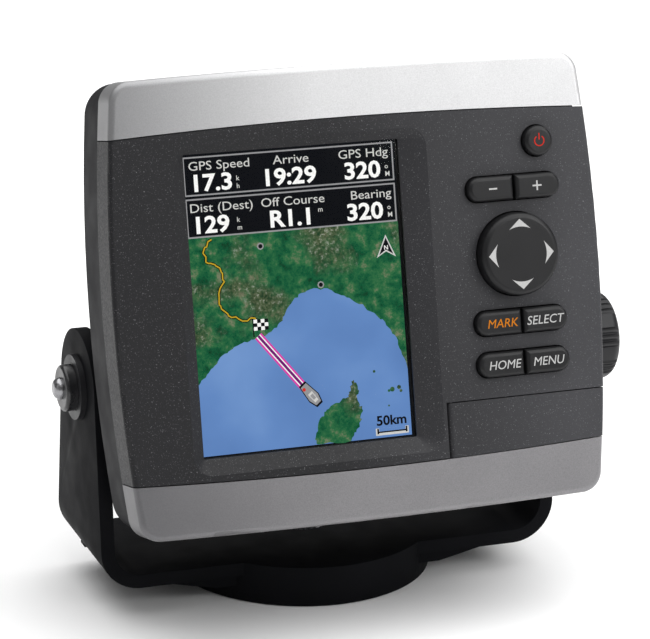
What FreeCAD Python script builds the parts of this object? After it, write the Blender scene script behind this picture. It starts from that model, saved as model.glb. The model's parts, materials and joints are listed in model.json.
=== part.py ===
"""Chartplotter display on a swivelling bail bracket. Millimetres, +Z up, front towards -Y.

The origin is where the swivel axis meets the surface that the base is screwed to. The display case is
drawn upright in its own frame: x across the face from its middle, y the depth behind the front plane,
z up from its middle. CASE then leans it back about the pivot between the bracket's arms.
"""
import FreeCAD, Part
import math
import os
import re
from FreeCAD import Placement, Rotation, Vector
import Sketcher

SIZES = {
    # stand
    "tilt": 15.25, "pivot_high": 61, "pivot_ahead": 4.5, "pivot_deep": 50, "pivot_drop": 22.5,
    "arm_out": 68.5, "arm_thick": 4, "arm_round": 16.5, "arm_foot_back": 14.6, "strap_front": 28,
    "strap_low": 8, "strap_thick": 4, "bend_out": 12, "bend_in": 8, "hub_round": 38.5, "hub_lift": 0.3,
    "well_round": 10, "well_deep": 2, "rib_wide": 7, "rib_tall": 16, "rib_thick": 4, "rib_back": 2,
    "brace_long": 52, "brace_foot": 34, "brace_low": 4.5, "brace_inset": 1.5,
    "base_round": 31.5, "base_gap": 1, "foot_thick": 0.8, "slip_gap": 0.1, "bolt_circle": 22,
    "bolt_hole": 2.2, "bolt_head": 4.6, "bolt_sink": 3, "relief_wide": 5.5, "relief_deep": 2,
    "swivel_pin": 3, "swivel_head": 6, "swivel_head_tall": 2.5, "swivel_disc": 8, "swivel_disc_thick": 0.85,
    "nut_round": 5.8, "nut_thick": 3, "nut_low": 1.2,
    # case outline
    "case_wide": 142, "case_tall": 125, "case_deep": 64, "side_bow": 3.8, "end_bow": 1, "corner_round": 6,
    "frame_deep": 11, "plate_deep": 4.6, "frame_wall": 2.2, "band_line": 48, "band_bow": 1.9,
    "seam_gap": 0.3, "trim_skin": 2.5, "trim_wall": 2, "snap_gap": 0.15, "trim_soft": 1.6,
    "face_soft": 1.2, "seal_thick": 1, "seal_inset": 1, "seal_wide": 2.8, "housing_inset": 0.6,
    "housing_wall": 2.5, "housing_round": 9, "shoulder_deep": 26, "shoulder_long": 6, "neck_wide": 127,
    "neck_tall": 117, "tail_wide": 114, "tail_tall": 98, "tail_round": 14, "tail_soft": 2,
    # display
    "screen_left": 17.2, "screen_wide": 61, "screen_tall": 81.3, "slope_left": 3.9, "slope_right": 7.8, "slope_top": 3.3,
    "slope_foot": 4.8, "recess_deep": 2.3, "recess_round": 5.5, "window_margin": 0.4, "window_lip": 2.6,
    "window_front": 2.8, "window_thick": 1.6, "window_play": 0.25, "window_seal_thick": 0.8,
    "panel_margin": 3.5, "panel_thick": 3.2, "carrier_rim": 1.5, "carrier_thick": 2, "carrier_lip": 2.4,
    # keys
    "key_column": 45.5, "pill_wide": 28, "pill_tall": 7.5, "pill_round": 3.6, "key_gap": 0.35,
    "split_gap": 0.6, "key_proud": 2.5, "key_soft": 1.2, "flange_grow": 1, "flange_front": 4.75,
    "flange_thick": 1.2, "nub_round": 1.5, "nub_long": 0.95, "zoom_row": 25.35, "mark_row": -11.7,
    "home_row": -23.2, "power_x": 53.7, "power_z": 37.6, "power_round": 4.55, "pad_row": 6.9,
    "pad_round": 11.85, "pad_proud": 4.2, "pad_soft": 1.6, "pad_flange": 12.6, "pad_flange_front": 5.6,
    "pad_flange_thick": 1, "pad_socket": 3, "pad_socket_front": 3.6, "pivot_post": 2.2,
    "pivot_post_front": 3.8, "pivot_post_back": 8, "arrow_reach": 8, "arrow_nub": 1.2, "arrow_nub_long": 0.5,
    "dome_round": 2.4, "dome_thick": 0.6, "keyboard_front": 8.35, "keyboard_thick": 1.6,
    "keyboard_left": 29.2, "keyboard_right": 63.4, "keyboard_low": -32.6, "keyboard_top": 46,
    "keyscrew_left": 31.6, "keyscrew_right": 61.3, "keyscrew_low": -30.4, "keyscrew_top": 43.6,
    "keyscrew_post": 2.1, "keyscrew_shank": 0.9, "keyscrew_head": 1.7, "keyscrew_cap": 1, "keyscrew_tip": 5.4,
    # card door
    "door_left": 22.4, "door_top": -32.7, "door_thick": 3, "door_gap": 0.3, "pin_round": 0.6,
    "pin_play": 0.06, "pin_bite": 3.5, "slot_x": 44, "slot_z": -40.2, "slot_wide": 12.4, "slot_tall": 2.2,
    "door_seal_wide": 30, "door_seal_tall": 8, "door_seal_rim": 1.3, "door_seal_deep": 0.7,
    "door_seal_proud": 0.2, "socket_wide": 16, "socket_tall": 4.4, "socket_slot_deep": 14,
    # boards
    "board_front": 22, "board_thick": 1.6, "board_wide": 108, "board_tall": 113, "boardscrew_x": 50,
    "boardscrew_z": 53, "boardscrew_post": 3, "boardscrew_shank": 1.2, "boardscrew_head": 2.4,
    "boardscrew_cap": 1.8, "boardscrew_tip": 15, "can_wide": 40, "can_tall": 34, "can_thick": 4,
    "can_x": -22, "can_z": 14, "patch_wide": 25, "patch_thick": 4.5, "patch_x": 22, "patch_z": 34,
    "beeper_round": 6, "beeper_thick": 5, "beeper_x": -34, "beeper_z": -34, "cell_round": 6.2,
    "cell_thick": 3, "cell_x": 22, "cell_z": -20,
    # screws between frame and housing
    "caser_x": 60, "caser_z": 52.5, "caser_post": 4, "caser_shank": 1.5, "caser_play": 0.15,
    "caser_head": 2.7, "caser_cap": 1.7, "caser_tip": 22, "caser_post_long": 14,
    # sockets on the back
    "power_port_x": -16, "power_port_z": -24, "port_flange": 11, "port_flange_thick": 2, "port_barrel": 9.6,
    "port_barrel_long": 7, "port_bore": 8, "port_bore_deep": 6, "port_tail": 5, "port_tail_long": 5,
    "contact_round": 0.6, "contact_circle": 6, "contact_long": 4.5, "aerial_x": 16, "aerial_z": -24,
    "aerial_flange": 6, "aerial_flange_thick": 1.5, "aerial_stub": 4, "aerial_stub_long": 7,
    "vent_x": 34, "vent_z": -34, "vent_round": 4, "vent_thick": 1.2, "vent_stem": 2.5, "vent_stem_long": 3,
    # pivots
    "pivot_face": 63.65, "pivot_boss": 8, "pivot_boss_long": 14, "insert_round": 4.5, "insert_long": 11,
    "stud_round": 2.9, "stud_play": 0.1, "friction_round": 8.5, "friction_gap": 0.05,
    "plate_round": 9.2, "plate_thick": 1.6, "cap_round": 6.6, "cap_thick": 3.2, "cap_soft": 1,
    "dome_head": 3.1, "dome_head_thick": 2.2, "knob_round": 13, "knob_long": 23.3, "knob_gap": 0.3,
    "knob_soft": 3, "knob_bore_long": 11, "grip_round": 0.9, "grip_turn": 9, "grip_groups": 8,
}

doc = FreeCAD.newDocument("chartplotter")
sheet = doc.addObject("Spreadsheet::Sheet", "Sizes")
for row, (alias, size) in enumerate(SIZES.items(), 1):
    sheet.set(f"A{row}", alias.replace("_", " "))
    sheet.set(f"B{row}", str(size))
    sheet.setAlias(f"B{row}", alias)
doc.recompute()

PARTS = []
WORD = re.compile(r"[a-z][a-z0-9_]*")
AROUND = ((-1, -1), (1, -1), (1, 1), (-1, 1))


# ---------------------------------------------------------------- expressions
def tied(text):
    """The expression with each size name pointed at its cell."""
    return WORD.sub(lambda word: f"Sizes.{word.group()}" if word.group() in SIZES else word.group(), str(text))


def number(text):
    return float(sheet.evalExpression(tied(text)))


def bow_radius(half_chord, rise):
    return f"((({half_chord})^2 + ({rise})^2) / (2 * ({rise})))"


SIDE = bow_radius("case_tall / 2 - end_bow", "side_bow")
END = bow_radius("case_wide / 2 - side_bow", "end_bow")
BAND = bow_radius("case_wide / 2", "band_bow")
BAND_END = "(band_line - band_bow)"
FRAME_INSET = "(trim_wall + snap_gap)"
HOLLOW_INSET = "(trim_wall + snap_gap + frame_wall)"
HOUSING_FRONT = "(frame_deep + seal_thick)"
NECK_DEEP = "(shoulder_deep + shoulder_long)"
STRAP_TOP = "(strap_low + strap_thick)"
ARM_IN = "(arm_out - arm_thick)"
FLANGE_BACK = "(flange_front + flange_thick)"
BOARD_BACK = "(board_front + board_thick)"
KEYBOARD_BACK = "(keyboard_front + keyboard_thick)"


def side_x(z, inset="0"):
    """Half width of the case at height z, pulled in by inset."""
    return f"(case_wide / 2 - {SIDE} + sqrt(({SIDE} - ({inset}))^2 - ({z})^2))"


def band_z(x):
    """Height of the parting line between the frame and a trim at x."""
    return f"(band_line - {BAND} + sqrt({BAND}^2 - ({x})^2))"


# ---------------------------------------------------------------- outlines
def box_loop(left, right, low, top):
    return [(left, low), (right, low), (right, top), (left, top)]


def round_loop(left, right, low, top, bend):
    """Rectangle with round corners, walked anticlockwise."""
    return [
        (f"{left} + {bend}", low), (f"{right} - {bend}", low, bend),
        (right, f"{low} + {bend}"), (right, f"{top} - {bend}", bend),
        (f"{right} - {bend}", top), (f"{left} + {bend}", top, bend),
        (left, f"{top} - {bend}"), (left, f"{low} + {bend}", bend),
    ]


def circle(across, up, radius):
    return ("circle", across, up, radius)


def bowed_loop(wide, tall, bend):
    """The case's outline at another size: four bowed sides and four round corners."""
    half_wide = f"({wide}) / 2"
    half_tall = f"({tall}) / 2"
    side = bow_radius(half_tall, "side_bow")
    end = bow_radius(half_wide, "end_bow")
    rise = f"({half_tall} - ({bend}))"
    reach = f"({half_wide} - side_bow - ({bend}))"
    across = f"({half_wide} - {side} + sqrt({side}^2 - {rise}^2))"
    up = f"({half_tall} - {end} + sqrt({end}^2 - {reach}^2))"
    return [
        (f"-{reach}", f"-{up}", end), (reach, f"-{up}", bend),
        (across, f"-{rise}", side), (across, rise, bend),
        (reach, up, end), (f"-{reach}", up, bend),
        (f"-{across}", rise, side), (f"-{across}", f"-{rise}", bend),
    ]


def pin_down(sketch, edge, end, spot):
    """Fixes one end of an edge at expressions of the sheet's sizes."""
    here = sketch.getPoint(edge, end)
    for kind, place, text in (("DistanceX", here.x, spot[0]), ("DistanceY", here.y, spot[1])):
        rule = sketch.addConstraint(Sketcher.Constraint(kind, edge, end, place))
        sketch.setExpression(f"Constraints[{rule}]", tied(text))


def draw_circle(sketch, across, up, radius):
    centre = Vector(number(across), number(up), 0)
    edge = sketch.addGeometry(Part.Circle(centre, Vector(0, 0, 1), number(radius)), False)
    pin_down(sketch, edge, 3, (across, up))
    rule = sketch.addConstraint(Sketcher.Constraint("Radius", edge, number(radius)))
    sketch.setExpression(f"Constraints[{rule}]", tied(radius))


def draw_loop(sketch, corners):
    """Closed outline. A corner's third value is the radius of the arc that leaves it.

    The arc bulges to the right of the walk, which is outwards on an anticlockwise walk, and to the
    left where the radius starts with a minus sign.
    """
    spots = [Vector(number(corner[0]), number(corner[1]), 0) for corner in corners]
    ends = []
    for order, corner in enumerate(corners):
        start = spots[order]
        finish = spots[(order + 1) % len(spots)]
        if len(corner) == 2:
            edge = sketch.addGeometry(Part.LineSegment(start, finish), False)
            ends.append((edge, 1, 2))
            continue
        bend = corner[2].lstrip("-")
        chord = finish - start
        radius = number(bend)
        rise = radius - math.sqrt(max(radius ** 2 - chord.Length ** 2 / 4, 0))
        away = Vector(chord.y, -chord.x, 0).normalize() * (-rise if corner[2].startswith("-") else rise)
        edge = sketch.addGeometry(Part.Arc(start, (start + finish) * 0.5 + away, finish), False)
        turned = (sketch.getPoint(edge, 1) - start).Length > (sketch.getPoint(edge, 2) - start).Length
        ends.append((edge, 2, 1) if turned else (edge, 1, 2))
        rule = sketch.addConstraint(Sketcher.Constraint("Radius", edge, radius))
        sketch.setExpression(f"Constraints[{rule}]", tied(bend))
    for order, (edge, start, finish) in enumerate(ends):
        follower = ends[(order + 1) % len(ends)]
        sketch.addConstraint(Sketcher.Constraint("Coincident", edge, finish, follower[0], follower[1]))
    for (edge, start, finish), corner in zip(ends, corners):
        pin_down(sketch, edge, start, corner)


def sketch_on(body, plane, place, loops):
    """Sketch on one of the body's origin planes, moved to a coordinate along that plane's axis."""
    sketch = body.newObject("Sketcher::SketchObject", "Outline")
    support = [item for item in body.Origin.OriginFeatures if item.Role == f"{plane}_Plane"][0]
    sketch.AttachmentSupport = [(support, "")]
    sketch.MapMode = "FlatFace"
    sign = "-" if plane == "XZ" else ""
    sketch.setExpression("AttachmentOffset.Base.z", tied(f"{sign}({place})"))
    for loop in loops:
        if loop[0] == "circle":
            draw_circle(sketch, *loop[1:])
        else:
            draw_loop(sketch, loop)
    return sketch


# ---------------------------------------------------------------- features
def start_part(label, seat=None):
    body = doc.addObject("PartDesign::Body", label)
    body.Label = label
    body.AllowCompound = True
    if seat:
        seat(body)
    PARTS.append(body)
    return body


def pad(body, plane, low, high, *loops):
    """Adds material between two coordinates along the plane's axis."""
    sketch = sketch_on(body, plane, high if plane == "XZ" else low, loops)
    feature = body.newObject("PartDesign::Pad", "Pad")
    feature.Profile = sketch
    feature.setExpression("Length", tied(f"({high}) - ({low})"))
    body.Tip = feature
    return feature


def cut(body, plane, low, high, *loops):
    """Removes material between two coordinates along the plane's axis."""
    sketch = sketch_on(body, plane, low if plane == "XZ" else high, loops)
    feature = body.newObject("PartDesign::Pocket", "Pocket")
    feature.Profile = sketch
    feature.setExpression("Length", tied(f"({high}) - ({low})"))
    body.Tip = feature
    return feature


def loft(body, kind, sections):
    """Ruled loft through (depth, outline) sections."""
    sketches = [sketch_on(body, "XZ", deep, [loop]) for deep, loop in sections]
    feature = body.newObject(f"PartDesign::{kind}Loft", f"{kind}Loft")
    feature.Profile = sketches[0]
    feature.Sections = sketches[1:]
    feature.Ruled = True
    body.Tip = feature
    return feature


def soften(body, radius, wanted, kind="Fillet"):
    """Rounds the edges of the body so far that pass the test."""
    doc.recompute()
    base = body.Tip
    names = [f"Edge{count}" for count, edge in enumerate(base.Shape.Edges, 1) if wanted(edge)]
    feature = body.newObject(f"PartDesign::{kind}", kind)
    feature.Base = (base, names)
    feature.setExpression("Radius" if kind == "Fillet" else "Size", tied(radius))
    body.Tip = feature
    return feature


def span(edge, axis):
    box = edge.BoundBox
    return {"x": (box.XMin, box.XMax), "y": (box.YMin, box.YMax), "z": (box.ZMin, box.ZMax)}[axis]


def lies_at(edge, axis, place):
    low, high = span(edge, axis)
    slack = 0.02
    return abs(low - place) < slack and abs(high - place) < slack


def runs_along(edge, axis):
    """True for a straight edge parallel to the axis."""
    others = [name for name in "xyz" if name != axis]
    thin = 0.02
    low, high = span(edge, axis)
    return high - low > thin and all(span(edge, name)[1] - span(edge, name)[0] < thin for name in others)


def beyond(edge, axis, limit):
    low, high = span(edge, axis)
    return min(abs(low), abs(high)) > limit and low * high > 0


def case_seat(body):
    """Leans the case back about the pivot between the arms."""
    body.Placement = Placement(Vector(0, 0, 0), Rotation(Vector(-1, 0, 0), number("tilt")))
    body.setExpression("Placement.Rotation.Angle", tied("tilt * 1deg"))
    body.setExpression("Placement.Base.y", tied("-pivot_ahead - pivot_deep * cos(tilt) + pivot_drop * sin(tilt)"))
    body.setExpression("Placement.Base.z", tied("pivot_high + pivot_deep * sin(tilt) + pivot_drop * cos(tilt)"))


def case_part(label):
    return start_part(label, case_seat)


# ---------------------------------------------------------------- front of the case
SCREEN = {
    "left": "(-screen_left - screen_wide / 2)", "right": "(-screen_left + screen_wide / 2)",
    "low": "(-screen_tall / 2)", "top": "(screen_tall / 2)",
}


def screen_loop(grow, bend):
    return round_loop(
        f"({SCREEN['left']} - ({grow}))", f"({SCREEN['right']} + ({grow}))",
        f"({SCREEN['low']} - ({grow}))", f"({SCREEN['top']} + ({grow}))", bend)


KEYSCREWS = [(x, z) for x in ("keyscrew_left", "keyscrew_right") for z in ("keyscrew_low", "keyscrew_top")]
BOARDSCREWS = [(f"{x} * boardscrew_x", f"{z} * boardscrew_z") for x, z in AROUND]
CASERS = [(f"{x} * caser_x", f"{z} * caser_z") for x, z in AROUND]
PIN_X = "(door_left + door_thick / 2)"
PIN_Y = "(door_thick / 2)"
PILL_LEFT = "(key_column - pill_wide / 2)"
PILL_RIGHT = "(key_column + pill_wide / 2)"


def circles(places, radius):
    return [circle(x, z, radius) for x, z in places]


def pill_loop(row, grow):
    return round_loop(
        f"({PILL_LEFT} - ({grow}))", f"({PILL_RIGHT} + ({grow}))",
        f"({row} - pill_tall / 2 - ({grow}))", f"({row} + pill_tall / 2 + ({grow}))", f"(pill_round + ({grow}))")


def door_seal_loop(inset):
    return round_loop(
        f"(slot_x - door_seal_wide / 2 + ({inset}))", f"(slot_x + door_seal_wide / 2 - ({inset}))",
        f"(slot_z - door_seal_tall / 2 + ({inset}))", f"(slot_z + door_seal_tall / 2 - ({inset}))", "1")


def slot_loop(wide, tall):
    return box_loop(
        f"slot_x - ({wide}) / 2", f"slot_x + ({wide}) / 2", f"slot_z - ({tall}) / 2", f"slot_z + ({tall}) / 2")


def front_frame():
    body = case_part("front_frame")
    end_x = side_x(BAND_END)
    pad(body, "XZ", "0", "frame_deep", [
        (f"-{end_x}", f"-{BAND_END}", BAND), (end_x, f"-{BAND_END}", SIDE),
        (end_x, BAND_END, BAND), (f"-{end_x}", BAND_END, SIDE)])
    soften(body, "face_soft", lambda edge: lies_at(edge, "y", 0) and beyond(edge, "x", 60))
    pad(body, "XZ", "trim_skin + snap_gap", "frame_deep", bowed_loop(
        f"case_wide - 2 * {FRAME_INSET}", f"case_tall - 2 * {FRAME_INSET}", f"corner_round - {FRAME_INSET}"))
    cut(body, "XZ", "plate_deep", "frame_deep", bowed_loop(
        f"case_wide - 2 * {HOLLOW_INSET}", f"case_tall - 2 * {HOLLOW_INSET}", "corner_round / 2"))
    loft(body, "Subtractive", [
        ("0", round_loop(
            f"({SCREEN['left']} - slope_left)", f"({SCREEN['right']} + slope_right)",
            f"({SCREEN['low']} - slope_foot)", f"({SCREEN['top']} + slope_top)", "recess_round")),
        ("recess_deep", screen_loop("window_margin", "window_margin"))])
    cut(body, "XZ", "recess_deep", "plate_deep", screen_loop("window_margin", "window_margin"))
    cut(body, "XZ", "window_front", "plate_deep", screen_loop("window_lip + window_play", "1"))
    cut(body, "XZ", "0", "plate_deep", circle("power_x", "power_z", "power_round"),
        circle("key_column", "pad_row", "pad_round"), *[pill_loop(row, "0") for row in PILL_ROWS])
    cut(body, "XZ", "0", "door_thick + door_gap", box_loop(
        "door_left - door_gap", "case_wide / 2 + 1", "-band_line - 1", "door_top + door_gap"))
    cut(body, "XZ", "door_thick + door_gap", "door_thick + door_gap + door_seal_deep",
        door_seal_loop("0"), door_seal_loop("door_seal_rim"))
    cut(body, "XZ", "0", "plate_deep", slot_loop("slot_wide", "slot_tall"))
    pad(body, "XZ", "plate_deep", "keyboard_front", *circles(KEYSCREWS, "keyscrew_post"))
    cut(body, "XZ", "keyscrew_tip", "keyboard_front", *circles(KEYSCREWS, "keyscrew_shank"))
    pad(body, "XZ", "plate_deep", "board_front", *circles(BOARDSCREWS, "boardscrew_post"))
    cut(body, "XZ", "boardscrew_tip", "board_front", *circles(BOARDSCREWS, "boardscrew_shank"))
    pad(body, "XZ", "plate_deep", "frame_deep", *circles(CASERS, "caser_post"))
    cut(body, "XZ", "0", "plate_deep", *circles(CASERS, "caser_head + caser_play"))
    cut(body, "XZ", "plate_deep", "frame_deep", *circles(CASERS, "caser_shank + caser_play"))
    cut(body, "XY", "door_top", "door_top + pin_bite", circle(PIN_X, PIN_Y, "pin_round"))


PILL_ROWS = ("zoom_row", "mark_row", "home_row")


def trim(label, side):
    """Silver cap over the top (side 1) or the foot (side -1) of the frame."""
    body = case_part(label)
    low = f"({BAND_END} + seam_gap)"
    high = "(case_tall / 2 - end_bow)"
    edge_x = "(case_wide / 2 - side_bow)"
    band_x = side_x(low)

    def place(x, z, *bend):
        return (f"{side} * ({x})", f"{side} * ({z})", *bend)

    pad(body, "XZ", "0", "frame_deep", [
        place(f"-{band_x}", low, f"-{BAND}"), place(band_x, low, SIDE),
        place(edge_x, high, END), place(f"-{edge_x}", high, SIDE)])
    soften(body, "corner_round", lambda edge: runs_along(edge, "y") and beyond(edge, "z", number(high) - 1))
    soften(body, "trim_soft", lambda edge: lies_at(edge, "y", 0) and not on_band(edge))
    inner_low = f"({BAND_END} - 2)"
    inner_high = f"({high} - trim_wall)"
    low_x = side_x(inner_low, "trim_wall")
    high_x = side_x(inner_high, "trim_wall")
    cut(body, "XZ", "trim_skin", "frame_deep", [
        place(f"-{low_x}", inner_low), place(low_x, inner_low, f"({SIDE} - trim_wall)"),
        place(high_x, inner_high, END), place(f"-{high_x}", inner_high, f"({SIDE} - trim_wall)")])
    soften(body, "corner_round - trim_wall", inner_corner)
    if side < 0:
        cut(body, "XY", "door_top - case_tall / 2", f"-{BAND_END}", circle(PIN_X, PIN_Y, "pin_round"))


def on_band(edge):
    """The long edge along the parting line, which stays crisp."""
    low, high = span(edge, "x")
    near, far = sorted(abs(value) for value in span(edge, "z"))
    return high - low > number("case_wide") / 2 and far < number("band_line") + 1


def inner_corner(edge):
    inside = number("case_tall / 2 - end_bow - trim_wall") + 0.6
    reach = max(abs(value) for value in span(edge, "z"))
    return runs_along(edge, "y") and inside - 1.2 < reach < inside and beyond(edge, "x", number("case_wide / 2") - 9)


def housing_gasket():
    body = case_part("housing_gasket")
    outer = "2 * seal_inset"
    inner = "2 * (seal_inset + seal_wide)"
    pad(body, "XZ", "frame_deep", HOUSING_FRONT,
        bowed_loop(f"case_wide - {outer}", f"case_tall - {outer}", "corner_round + seal_inset"),
        bowed_loop(f"case_wide - {inner}", f"case_tall - {inner}", "corner_round - seal_inset"))


def housing_sections(inset, front, back):
    """Outlines of the back shell from its rim, round the shoulder, to its softened tail."""
    wide = f"(case_wide - 2 * housing_inset - 2 * ({inset}))"
    tall = f"(case_tall - 2 * housing_inset - 2 * ({inset}))"
    step = "(case_wide - 2 * housing_inset - neck_wide)"
    fall = "(case_tall - 2 * housing_inset - neck_tall)"
    bend = f"(housing_round - ({inset}) / 2)"
    sections = [
        (front, bowed_loop(wide, tall, bend)),
        (f"shoulder_deep - ({inset})", bowed_loop(wide, tall, bend)),
        (f"shoulder_deep + shoulder_long * 0.5 - ({inset})",
         bowed_loop(f"({wide} - {step} * 0.35)", f"({tall} - {fall} * 0.35)", bend)),
        (f"{NECK_DEEP} - ({inset})", bowed_loop(f"({wide} - {step})", f"({tall} - {fall})", bend)),
    ]
    for deep, shrink in (("tail_soft", "0"), ("tail_soft * 0.3", "tail_soft * 0.3"), ("0", "tail_soft")):
        sections.append((f"({back} - {deep})", bowed_loop(
            f"(tail_wide - 2 * ({inset}) - 2 * {shrink})", f"(tail_tall - 2 * ({inset}) - 2 * {shrink})",
            f"(tail_round - {shrink})")))
    return sections


def rear_housing():
    body = case_part("rear_housing")
    loft(body, "Additive", housing_sections("0", HOUSING_FRONT, "case_deep"))
    loft(body, "Subtractive", housing_sections("housing_wall", HOUSING_FRONT, "case_deep - housing_wall"))
    for low, high in (("-pivot_face", "pivot_boss_long - pivot_face"), ("pivot_face - pivot_boss_long", "pivot_face")):
        pad(body, "YZ", low, high, circle("pivot_deep", "-pivot_drop", "pivot_boss"))
    for low, high in (("-pivot_face", "insert_long - pivot_face"), ("pivot_face - insert_long", "pivot_face")):
        cut(body, "YZ", low, high, circle("pivot_deep", "-pivot_drop", "insert_round"))
    pad(body, "XZ", HOUSING_FRONT, f"{HOUSING_FRONT} + caser_post_long", *circles(CASERS, "caser_post + 0.5"))
    cut(body, "XZ", HOUSING_FRONT, "caser_tip", *circles(CASERS, "caser_shank"))
    cut(body, "XZ", "case_deep - housing_wall - 1", "case_deep",
        circle("power_port_x", "power_port_z", "port_tail"), circle("vent_x", "vent_z", "vent_stem"),
        circle("aerial_x", "aerial_z", "aerial_stub / 2"))


# ---------------------------------------------------------------- display stack
WINDOW_BACK = "(window_front + window_thick)"
PANEL_FRONT = f"({WINDOW_BACK} + window_seal_thick)"
PANEL_BACK = f"({PANEL_FRONT} + panel_thick)"


def display_stack():
    window = case_part("display_window")
    pad(window, "XZ", "window_front", WINDOW_BACK, screen_loop("window_lip", "1"))
    seal = case_part("window_gasket")
    pad(seal, "XZ", WINDOW_BACK, PANEL_FRONT, screen_loop("window_lip", "1"), screen_loop("window_margin", "0.4"))
    panel = case_part("display_panel")
    pad(panel, "XZ", PANEL_FRONT, PANEL_BACK, screen_loop("panel_margin", "0.5"))
    carrier = case_part("display_carrier")
    grown = "panel_margin + window_play + carrier_rim"
    pad(carrier, "XZ", f"{PANEL_BACK} - carrier_lip", f"{PANEL_BACK} + carrier_thick", screen_loop(grown, "1"))
    cut(carrier, "XZ", f"{PANEL_BACK} - carrier_lip", PANEL_BACK, screen_loop("panel_margin + window_play", "0.5"))


# ---------------------------------------------------------------- keys
def half_pill(label, row, side):
    """One half of a split pill key, side -1 left and 1 right of the split."""
    body = case_part(label)
    centre = "key_column"

    def half(grow, bend):
        inner = "(key_column + side_half)".replace("side_half", f"{side} * split_gap / 2")
        outer = f"(key_column + {side} * (pill_wide / 2 + ({grow})))"
        low = f"({row} - pill_tall / 2 - ({grow}))"
        top = f"({row} + pill_tall / 2 + ({grow}))"
        near, far = (outer, inner) if side < 0 else (inner, outer)
        if side < 0:
            return [
                (f"{near} + {bend}", low), (far, low), (far, top), (f"{near} + {bend}", top, bend),
                (near, f"{top} - {bend}"), (near, f"{low} + {bend}", bend)]
        return [
            (near, low), (f"{far} - {bend}", low, bend), (far, f"{low} + {bend}"),
            (far, f"{top} - {bend}", bend), (f"{far} - {bend}", top), (near, top)]

    pad(body, "XZ", "-key_proud", FLANGE_BACK, half("-key_gap", "(pill_round - key_gap)"))
    soften(body, "key_soft", lambda edge: lies_at(edge, "y", -number("key_proud")))
    pad(body, "XZ", "flange_front", FLANGE_BACK, half("flange_grow", "(pill_round + flange_grow)"))
    pad(body, "XZ", FLANGE_BACK, f"{FLANGE_BACK} + nub_long",
        circle(f"{centre} + {side} * pill_wide / 4", row, "nub_round"))


def power_key():
    body = case_part("power_key")
    pad(body, "XZ", "-key_proud", FLANGE_BACK, circle("power_x", "power_z", "power_round - key_gap"))
    soften(body, "key_soft", lambda edge: lies_at(edge, "y", -number("key_proud")))
    pad(body, "XZ", "flange_front", FLANGE_BACK, circle("power_x", "power_z", "power_round + flange_grow"))
    pad(body, "XZ", FLANGE_BACK, f"{FLANGE_BACK} + nub_long", circle("power_x", "power_z", "nub_round"))


ARROWS = [("key_column", "pad_row + arrow_reach"), ("key_column", "pad_row - arrow_reach"),
          ("key_column - arrow_reach", "pad_row"), ("key_column + arrow_reach", "pad_row")]


def rocker():
    pad_back = "(pad_flange_front + pad_flange_thick)"
    body = case_part("rocker_pad")
    pad(body, "XZ", "-pad_proud", pad_back, circle("key_column", "pad_row", "pad_round - key_gap"))
    soften(body, "pad_soft", lambda edge: lies_at(edge, "y", -number("pad_proud")))
    pad(body, "XZ", "pad_flange_front", pad_back, circle("key_column", "pad_row", "pad_flange"))
    cut(body, "XZ", "pad_socket_front", pad_back, circle("key_column", "pad_row", "pad_socket"))
    pad(body, "XZ", pad_back, f"{pad_back} + arrow_nub_long", *circles(ARROWS, "arrow_nub"))
    post = case_part("rocker_pivot")
    pad(post, "XZ", "pivot_post_front", "pivot_post_back", circle("key_column", "pad_row", "pivot_post"))


def keypad():
    half_pill("zoom_out_key", "zoom_row", -1)
    half_pill("zoom_in_key", "zoom_row", 1)
    half_pill("mark_key", "mark_row", -1)
    half_pill("select_key", "mark_row", 1)
    half_pill("home_key", "home_row", -1)
    half_pill("menu_key", "home_row", 1)
    power_key()
    rocker()
    board = case_part("keypad_board")
    pad(board, "XZ", "keyboard_front", KEYBOARD_BACK,
        box_loop("keyboard_left", "keyboard_right", "keyboard_low", "keyboard_top"),
        *circles(KEYSCREWS, "keyscrew_shank"))
    halves = [(f"key_column + {side} * pill_wide / 4", row) for row in PILL_ROWS for side in (-1, 1)]
    domes = case_part("dome_switches")
    pad(domes, "XZ", "keyboard_front - dome_thick", "keyboard_front",
        *circles(halves + ARROWS + [("power_x", "power_z")], "dome_round"))
    screws = case_part("keypad_screws")
    pad(screws, "XZ", "keyscrew_tip", KEYBOARD_BACK, *circles(KEYSCREWS, "keyscrew_shank"))
    pad(screws, "XZ", KEYBOARD_BACK, f"{KEYBOARD_BACK} + keyscrew_cap", *circles(KEYSCREWS, "keyscrew_head"))


# ---------------------------------------------------------------- card door
def card_door():
    body = case_part("card_door")
    corner_x = side_x(BAND_END)
    pad(body, "XZ", "0", "door_thick", [
        ("door_left", f"-{band_z('door_left')}", BAND), (corner_x, f"-{BAND_END}", SIDE),
        (side_x("door_top"), "door_top"), ("door_left", "door_top")])
    soften(body, "door_thick / 2 - 0.02", lambda edge: lies_at(edge, "x", number("door_left")) and runs_along(edge, "z"))
    soften(body, "face_soft", lambda edge: lies_at(edge, "y", 0) and beyond(edge, "x", 60))
    cut(body, "XY", "-case_tall / 2", "door_top + 1", circle(PIN_X, PIN_Y, "pin_round + pin_play"))
    pin = case_part("door_hinge_pin")
    pad(pin, "XY", "-band_line - pin_bite", "door_top + pin_bite", circle(PIN_X, PIN_Y, "pin_round"))
    seal = case_part("door_gasket")
    pad(seal, "XZ", "door_thick + door_gap - door_seal_proud", "door_thick + door_gap + door_seal_deep",
        door_seal_loop("0"), door_seal_loop("door_seal_rim"))
    socket = case_part("card_socket")
    pad(socket, "XZ", "plate_deep", "board_front", slot_loop("socket_wide", "socket_tall"))
    cut(socket, "XZ", "plate_deep", "plate_deep + socket_slot_deep", slot_loop("slot_wide", "slot_tall"))


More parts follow.
